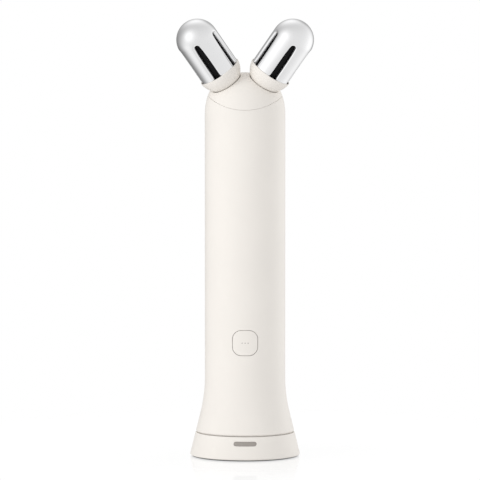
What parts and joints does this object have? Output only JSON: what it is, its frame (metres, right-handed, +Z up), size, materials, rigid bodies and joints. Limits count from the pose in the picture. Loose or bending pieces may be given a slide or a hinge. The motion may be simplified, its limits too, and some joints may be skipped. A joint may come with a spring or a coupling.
{
  "type": "facial toning device",
  "caption": "Handheld facial toner with a round handle, power button and slotted chrome rollers in a V, standing on a low round charging dock with a light bar.",
  "frame": {"origin": "centre of the dock's foot, on the floor", "axes": "+Z up along the handle's axis, -Y towards the front with the power button and light bar, +X to the right roller"},
  "size_m": [0.0648, 0.052, 0.2078],
  "materials": {
    "cream_plastic": "fine matte cream",
    "grey_plastic": "matte grey",
    "black_plastic": "matte black",
    "light_diffuser": "frosted grey",
    "rubber": "soft matte",
    "chrome": "polished chrome",
    "steel": "plated steel",
    "gold": "gold plated",
    "bronze": "sintered bronze",
    "circuit_board": "green solder mask",
    "film": "amber film",
    "battery_sleeve": "shrink sleeve",
    "wire": "red insulation"
  },
  "bodies": {
    "dock": {"dock_shell": "cream_plastic", "dock_base_plate": "grey_plastic", "dock_foot": "rubber", "dock_ballast": "steel", "dock_board": "circuit_board", "dock_board_parts": "black_plastic", "usb_socket": "steel", "usb_tongue": "black_plastic", "light_bar": "light_diffuser", "charge_pins": "gold", "dock_screws": "steel"},
    "handle": {"handle_shell": "cream_plastic", "head_cap": "cream_plastic", "cap_seal": "rubber", "cap_screws": "steel", "bottom_cap": "grey_plastic", "bottom_seal": "rubber", "bottom_screws": "steel", "charge_contacts": "gold", "charge_board": "circuit_board", "charge_ribbon": "film", "chassis": "grey_plastic", "battery_cell": "battery_sleeve", "battery_foam": "rubber", "battery_strips": "steel", "main_board": "circuit_board", "board_parts": "black_plastic", "board_screws": "steel", "tact_switch": "steel", "button_frame": "grey_plastic", "axle_bracket": "grey_plastic", "electrode_wires": "wire", "electrode_terminals": "gold", "left_axle": "steel", "right_axle": "steel", "axle_seals": "rubber", "axle_clips": "steel"},
    "button": {"power_button": "cream_plastic", "button_dots": "light_diffuser", "return_pad": "rubber", "switch_plunger": "black_plastic"},
    "left_roller": {"left_electrode": "chrome", "left_core": "black_plastic", "left_cup": "cream_plastic", "left_bushes": "bronze"},
    "right_roller": {"right_electrode": "chrome", "right_core": "black_plastic", "right_cup": "cream_plastic", "right_bushes": "bronze"}
  },
  "joints": [
    {"name": "handle_lift", "type": "slide", "parent": "dock", "child": "handle", "axis": [0, 0, 1], "range_m": [0, 0.03]},
    {"name": "button_press", "type": "slide", "parent": "handle", "child": "button", "axis": [0, 1, 0], "range_m": [0, 0.0005], "stiffness_N_per_m": 3000},
    {"name": "left_roller_spin", "type": "hinge", "parent": "handle", "child": "left_roller", "pos_m": [0, -0.0035, 0.1647], "axis": [-0.5519, -0.1734, 0.8157], "continuous": true},
    {"name": "right_roller_spin", "type": "hinge", "parent": "handle", "child": "right_roller", "pos_m": [0, -0.0035, 0.1647], "axis": [0.5519, -0.1734, 0.8157], "continuous": true}
  ]
}
